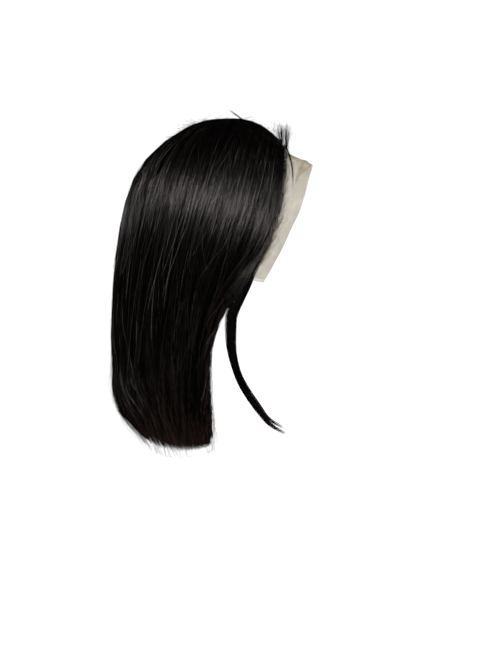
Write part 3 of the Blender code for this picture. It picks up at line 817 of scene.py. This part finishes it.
def cap_point(around, level, inwards):
    """A point that lies inwards of the cap's outside."""
    below = layer(around, level) + LAYER_GAP + inwards
    return hair_surface(around, level) - hair_normal(around, level) * np.asarray(below)[..., None]


def closed_middle(points):
    """Puts the points that should lie on the middle plane exactly there."""
    points[..., 1] = np.minimum(points[..., 1], 0.0)
    return points


def raised_row(around, level, width, height, lines):
    """A half-round ridge on the cap's inside, width in levels: its section is a sine over half a turn."""
    arch = np.linspace(0, math.pi, lines)
    level = level + (0.5 - 0.5 * np.cos(arch)) * width
    return closed_middle(cap_point(around + 0 * level, level, CAP_WALL + height * np.sin(arch)))


def net_material(name, colour, scale, roughness):
    """Knitted net: rows of small holes as bump and a darker ground, on the object's own coordinates."""
    made = bpy.data.materials.new(name)
    made.use_nodes = True
    nodes, links = made.node_tree.nodes, made.node_tree.links
    surface = nodes["Principled BSDF"]
    place = nodes.new("ShaderNodeTexCoord")
    holes = nodes.new("ShaderNodeTexVoronoi")
    holes.inputs["Scale"].default_value = scale
    holes.inputs["Randomness"].default_value = 0.25
    colours = nodes.new("ShaderNodeValToRGB")
    colours.color_ramp.elements[0].position = 0.25
    colours.color_ramp.elements[0].color = (*[HOLE_DARKER * c for c in colour], 1)
    colours.color_ramp.elements[1].position = 0.6
    colours.color_ramp.elements[1].color = (*[KNIT_PALER * c for c in colour], 1)
    bump = nodes.new("ShaderNodeBump")
    bump.inputs["Strength"].default_value = 0.5
    bump.inputs["Distance"].default_value = 0.0004
    links.new(place.outputs["Object"], holes.inputs["Vector"])
    links.new(holes.outputs["Distance"], colours.inputs["Fac"])
    links.new(holes.outputs["Distance"], bump.inputs["Height"])
    links.new(colours.outputs["Color"], surface.inputs["Base Color"])
    links.new(bump.outputs["Normal"], surface.inputs["Normal"])
    surface.inputs["Roughness"].default_value = roughness
    return made


def cap_piece(name, grid, material):
    """One piece of the cap from a grid of points on its right half, mirrored and joined, faces outwards."""
    number = np.arange(grid[..., 0].size).reshape(grid.shape[:2])
    quad = np.stack([number[:-1, :-1], number[:-1, 1:], number[1:, 1:], number[1:, :-1]], -1).reshape(-1, 4)
    faces = np.concatenate([quad, quad[:, ::-1] + number.size])
    points = both_sides(grid.reshape(-1, 3))
    piece = grid_mesh(name, points, side_map(points), faces)
    joined = bmesh.new()
    joined.from_mesh(piece.data)
    bmesh.ops.remove_doubles(joined, verts=joined.verts, dist=WELD)
    joined.to_mesh(piece.data)
    joined.free()
    piece.data.materials.append(material)
    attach(piece, "root")
    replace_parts(piece, "net_cap")
    return piece


cap_net = net_material("stretch_net", CAP_COLOUR, 900.0, 0.8)
way_round, down = np.linspace(CAP_FRONT, 1, CAP_COLUMNS), np.linspace(0, 1, CAP_LINES)
around, down = np.meshgrid(way_round, down, indexing="ij")
level = down * cap_rim(around)
outer = closed_middle(cap_point(around, level, 0.0))
inner = closed_middle(cap_point(around, level, CAP_WALL))
outer[:, 0, 1] = inner[:, 0, 1] = 0.0
loop = np.concatenate([outer, inner[:, ::-1]], axis=1)
front_hem = 0.5 * (loop[:1] + loop[:1, ::-1])
cap_piece("cap_shell", np.concatenate([front_hem, loop]), cap_net)

knit = net_material("edge_elastic", CAP_COLOUR, 500.0, 0.6)
around = way_round[:, None]
band = raised_row(around, cap_rim(around), -BAND_WIDTH / BAND_STEP, BAND_HEIGHT, BAND_LINES)
cap_piece("edge_band", band, knit)
around = np.linspace(TRACK_START, 1, TRACK_COLUMNS)[:, None]
for track_number, track_level in enumerate(TRACK_LEVELS, 1):
    level = np.minimum(track_level, cap_rim(around) - TRACK_ABOVE_RIM)
    track = raised_row(around, level, TRACK_WIDTH / TRACK_STEP, TRACK_HEIGHT, TRACK_LINES)
    cap_piece(f"weft_row_{track_number}", track, knit)


# The loose hairs.
# Short hairs grow over the lace from the hairline, a tuft stands up at the parting and a wisp hangs from it.
# Single hairs lift off the crown, cross the curtains and straggle past the hem.
PAST_HEM = 0.10  # how far single hairs go on below the hem, in levels
HEM_STEP = 0.2  # levels over which the line of the hair at the hem is read
LIFT_STATIONS = 9
LIFT_START, LIFT_SLOPE = -0.0006, 0.0008
LOOSE_FINENESS = (0.6, 1.2)


def lifted_hairs(around, level, turn, length, lift, curl):
    """Hairs that start on the hair and leave it: around and level change evenly along each, as it rises.

    turn is how far round it goes, length how many levels down, lift its height at the tip, curl its bend."""
    s = np.linspace(0, 1, LIFT_STATIONS)[None, :]
    around = np.abs(around[:, None] + turn[:, None] * s + curl[:, None] * s * s)
    level = np.clip(level[:, None] + length[:, None] * s, 0, LAST_LEVEL + PAST_HEM)
    on_hair, past = np.minimum(level, LAST_LEVEL), np.maximum(level - LAST_LEVEL, 0)
    out = hair_normal(around, on_hair)
    straight_on = (hair_surface(around, LAST_LEVEL) - hair_surface(around, LAST_LEVEL - HEM_STEP)) / HEM_STEP
    path = hair_surface(around, on_hair) + straight_on * past[..., None]
    path = path + out * (lift[:, None] * s**1.5 + LIFT_START + LIFT_SLOPE * s)[..., None]
    return path, out


def random_sides(path, out, rng):
    """Sends each hair to the right or the left side."""
    side = np.where(rng.uniform(0, 1, len(path)) < 0.5, 1.0, -1.0)[:, None]
    path[..., 1] *= side
    out[..., 1] *= side
    return path, out


def single_hairs(name, path, out, tone, gauge, rng, node, stray=0.0):
    """A piece of loose hairs of random fineness; stray is how differently each one catches the light."""
    width = HAIR_GAUGE * gauge * rng.uniform(*LOOSE_FINENESS, len(path))
    lean = rng.normal(0, stray, (len(path), 1)) + np.zeros(path.shape[1])
    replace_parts(ribbons(name, path, out, width, np.clip(tone, 0, 1), rng, lean=lean), node)


rng = np.random.default_rng(41)
count = 640
path, out = lifted_hairs(
    around=rng.uniform(0.02, 1.0, count),
    level=rng.uniform(0.5, 11.0, count),
    turn=rng.normal(0.012, 0.045, count),
    length=rng.uniform(1.0, 3.5, count),
    lift=np.abs(rng.normal(0, 0.0007, count)),
    curl=rng.normal(0, 0.03, count),
)
tone = rng.normal(0.82, 0.12, count)
single_hairs("crossing_hairs", *random_sides(path, out, rng), tone, 0.5, rng, "weft_hair_back", stray=0.16)

count = 320
path, out = lifted_hairs(
    around=rng.uniform(0.0, 1.0, count),
    level=rng.uniform(0.0, 2.2, count),
    turn=rng.normal(0, 0.12, count),
    length=rng.uniform(0.3, 1.5, count),
    lift=np.minimum(np.abs(rng.normal(0.0010, 0.0048, count)), 0.013),
    curl=rng.normal(0, 0.08, count),
)
tone = rng.normal(0.85, 0.12, count)
single_hairs("crown_flyaways", *random_sides(path, out, rng), tone, 0.65, rng, "weft_hair_back", stray=0.25)

WISPS = (  # name, number, from and to where round the head, highest root, lift
    ("hem_wisps", 230, 0.25, 1.0, 10.8, 0.0026),
    ("nape_wisps", 130, 0.80, 1.0, 9.0, 0.0028),
    ("front_wisps", 120, 0.0, 0.08, 7.5, 0.0025),
)
LOWEST_ROOT = 12.8
for name, count, start, end, highest_root, lift in WISPS:
    path, out = lifted_hairs(
        around=rng.uniform(start, end, count),
        level=rng.uniform(highest_root, LOWEST_ROOT, count),
        turn=rng.normal(0, 0.03, count) - 0.05,
        length=rng.uniform(1.2, 3.2, count),
        lift=np.abs(rng.normal(0.001, lift, count)),
        curl=rng.normal(0, 0.04, count),
    )
    path, out = random_sides(path, out, rng)
    single_hairs(name, path, out, rng.normal(0.8, 0.15, count), 0.72, rng, "weft_hair_back")


HAIRLINE_STATIONS = 12
HAIRLINE_FROM, HAIRLINE_SHORT = 0.15, 0.6  # rows of the lace that have no roots at its two ends
BEHIND_LINE = 0.4  # how far behind the hairline the roots lie on average, as a share of their reach
TURN_BACK = 0.9  # share of its way out that each hair has given up at the tip
OVER_LACE, OVER_HAIR = 0.0004, 0.0002
HAIRLINE_ROUND = (0.006, 0.017)
HAIRLINE_LIFT = (0.0001, 0.0012)
LEAVE_LATEST, LEAVE_OVER = 0.3, 0.7  # shares of its length where it starts to leave the lace, and over which
END_ROWS = 0.9  # rows before the lace's end over which every hair leaves it
MIDDLE_GAP = 0.0002


def hairline_hairs(count, rng, reach, run):
    """Hairs rooted about the hairline, which fall along it and turn back into the edge of the hair.

    Each is a blend from its line on the lace to its line on the hair, standing a little proud of both."""
    s = np.linspace(0, 1, HAIRLINE_STATIONS)[None, :]
    length = rng.uniform(*run, count)[:, None]
    fall = rng.uniform(HAIRLINE_FROM, LACE_END - HAIRLINE_SHORT, count)[:, None] + length * s
    place = np.minimum(fall, LACE_END)
    out = rng.normal(-BEHIND_LINE * reach, reach, count)[:, None] * (1 - TURN_BACK * s**1.5)
    upright = along_edge(EDGE_UPRIGHT, place)
    on_lace = lace_point(place, out) + upright * OVER_LACE
    level = along_edge(EDGE_LEVEL, place)[..., 0] + fall - place
    round_way = rng.uniform(*HAIRLINE_ROUND, count)[:, None] * (0.6 + length) + 0 * level
    hair_out = hair_normal(round_way, level)
    on_hair = hair_surface(round_way, level) + hair_out * OVER_HAIR
    blend = rise(s, rng.uniform(0.0, LEAVE_LATEST, count)[:, None], LEAVE_OVER)
    blend = np.maximum(blend, smooth_step((fall - LACE_END) / END_ROWS + 1))[..., None]
    lift = upright * (rng.uniform(*HAIRLINE_LIFT, (count, 1)) * np.sin(math.pi * s))[..., None]
    path = on_lace * (1 - blend) + on_hair * blend + lift
    path[..., 1] = np.minimum(path[..., 1], -MIDDLE_GAP)
    return path, unit(upright * (1 - blend) + hair_out * blend)


rng = np.random.default_rng(51)
HAIRLINES = (  # name, number, how far out on the lace, shortest and longest in rows
    ("hairline_hairs", 1050, 0.0042, (0.7, 2.2)),
    ("baby_hairs", 240, 0.0075, (0.3, 1.0)),
)
for name, count, reach, run in HAIRLINES:
    path, out = hairline_hairs(count, rng, reach, run)
    path, out = random_sides(path, out, rng)
    single_hairs(name, path, out, rng.normal(0.45, 0.2, count), 0.5, rng, "lace_front")


SWEPT_STATIONS = 14
SWEPT_ROOTS, SWEPT_SHORT = 0.18, 0.45  # most that a hair starts late and ends early, as shares of the line
SWEPT_DRIFT = 0.25
WISP_HEIGHT = 0.0015  # of the wisp's line over the lace


def swept_hairs(rows, count, spread, fan, rng):
    """Hairs along one line through rows of x, y and z: each keeps its own offset, which fans out."""
    last = len(rows) - 1.0
    s = np.linspace(0, 1, SWEPT_STATIONS)[None, :]
    first = rng.uniform(0, SWEPT_ROOTS, count)[:, None] * last
    place = first + s * (last * (1 - rng.uniform(0, SWEPT_SHORT, count)[:, None]) - first)
    offset = rng.normal(0, 1, (count, 1, 3))
    drift = np.cumsum(rng.normal(0, SWEPT_DRIFT, (count, SWEPT_STATIONS, 3)), axis=1) / SWEPT_STATIONS
    path = through(rows, place) + offset * (spread + (fan - spread) * s**1.5)[..., None] + drift * fan
    return path, unit(offset + 0 * path)


def over_lace(place, out):
    """A point that lies on the lace like a hair does."""
    place, out = np.array([place]), np.array([out])
    return tuple((lace_point(place, out) + along_edge(EDGE_UPRIGHT, place) * WISP_HEIGHT)[0])


# The line that each bunch follows, from its roots to its tips
FUZZ_LINE = ((0.048, 0.0, -0.012), (0.049, -0.001, -0.006), (0.050, -0.001, 0.0), (0.049, -0.002, 0.006))
TUFT_LINE = ((0.0545, 0.0, -0.017), (0.054, -0.001, -0.008), (0.0532, -0.001, 0.0), (0.0528, -0.002, 0.0085))
FRONT_LINE = ((0.059, 0.0, -0.022), (0.060, -0.002, -0.012), (0.0605, -0.003, -0.002), (0.062, -0.003, 0.012))
WISP_LINE = (
    (0.0586, -0.001, 0.0060),
    (0.0592, -0.003, -0.0080),
    (0.0603, -0.005, -0.0190),
    over_lace(1.4, 0.0050),
    over_lace(2.6, 0.0066),
    over_lace(3.5, 0.0080),
    over_lace(4.3, 0.0088),
    over_lace(5.0, 0.0098),
)
CROWN_LINE = ((0.016, 0.0, 0.009), (0.008, -0.002, 0.015), (0.0, -0.003, 0.0205), (-0.008, -0.004, 0.025))
BUNCHES = (  # name, number, spread at the roots and at the tips, gauge, line
    ("parting_fuzz", 60, 0.0055, 0.0080, 0.50, FUZZ_LINE),
    ("parting_tuft", 120, 0.0013, 0.0034, 0.55, TUFT_LINE),
    ("parting_tuft_front", 96, 0.0011, 0.0036, 0.50, FRONT_LINE),
    ("lace_wisp", 48, 0.0008, 0.0005, 0.50, WISP_LINE),
    ("crown_flyaway", 16, 0.0004, 0.0010, 0.60, CROWN_LINE),
)
for name, count, spread, fan, gauge, line in BUNCHES:
    path, out = swept_hairs(line, count, spread, fan, rng)
    single_hairs(name, path, out, rng.normal(0.3, 0.15, count), gauge, rng, "weft_hair_back")


# The studio.
# A white room with a pale floor, one large soft light high in front of the wig and weaker ones round it.
METRES_PER_PIXEL = 0.0011
IMAGE_WIDTH, IMAGE_HEIGHT = 490, 653
CROWN_PIXEL = (232, 131)  # where the head seat lies in the image
CAMERA_DISTANCE = 2.0
SENSOR_HEIGHT = 24.0
FLOOR_Z = -0.62
FLOOR_RADIUS = 6.0
FLOOR_GREY = (0.9, 0.9, 0.9)
ROOM_STRENGTH = 1.12
LIGHT_DISTANCE = 2.2
LIGHTS = (  # name, turn and rise in degrees, width, height, power
    ("key", -8.0, 30.0, 1.9, 0.4, 32.0),
    ("face_side", 95.0, 17.0, 1.4, 0.4, 11.0),
    ("back_side", 255.0, 17.0, 1.2, 0.4, 8.0),
)

middle_x = (IMAGE_WIDTH / 2 - CROWN_PIXEL[0]) * METRES_PER_PIXEL
middle_z = (CROWN_PIXEL[1] - IMAGE_HEIGHT / 2) * METRES_PER_PIXEL
camera = bpy.data.objects.new("camera", bpy.data.cameras.new("camera"))
camera.data.sensor_fit = "VERTICAL"
camera.data.sensor_height = SENSOR_HEIGHT
camera.data.lens = SENSOR_HEIGHT * CAMERA_DISTANCE / (IMAGE_HEIGHT * METRES_PER_PIXEL)
camera.location = (middle_x, -CAMERA_DISTANCE, middle_z)
camera.rotation_euler = (math.radians(90), 0, 0)
bpy.context.scene.collection.objects.link(camera)
bpy.context.scene.camera = camera

bpy.ops.mesh.primitive_circle_add(
    vertices=96, radius=FLOOR_RADIUS, fill_type="NGON", location=(0, 0, FLOOR_Z)
)
floor = bpy.context.object
floor.name = "floor"
pale = bpy.data.materials.new("pale_floor")
pale.use_nodes = True
matt = pale.node_tree.nodes["Principled BSDF"]
matt.inputs["Base Color"].default_value = (*FLOOR_GREY, 1)
matt.inputs["Roughness"].default_value = 0.9
matt.inputs["Specular IOR Level"].default_value = 0.0
floor.data.materials.append(pale)
floor.visible_glossy = False

world = bpy.data.worlds.new("white_room")
bpy.context.scene.world = world
world.use_nodes = True
world.node_tree.nodes["Background"].inputs["Color"].default_value = (1, 1, 1, 1)
world.node_tree.nodes["Background"].inputs["Strength"].default_value = ROOM_STRENGTH
world.cycles_visibility.glossy = False
bpy.context.scene.view_settings.view_transform = "Standard"

for name, turn, height_angle, wide, high, power in LIGHTS:
    light = bpy.data.objects.new(name, bpy.data.lights.new(name, "AREA"))
    light.data.shape = "RECTANGLE"
    light.data.size = wide
    light.data.size_y = high
    light.data.energy = power
    turn, height_angle = math.radians(turn), math.radians(height_angle)
    light.location = (
        LIGHT_DISTANCE * math.sin(turn) * math.cos(height_angle),
        -LIGHT_DISTANCE * math.cos(turn) * math.cos(height_angle),
        middle_z + LIGHT_DISTANCE * math.sin(height_angle),
    )
    light.rotation_euler = (math.radians(90) - height_angle, 0, turn)
    bpy.context.scene.collection.objects.link(light)
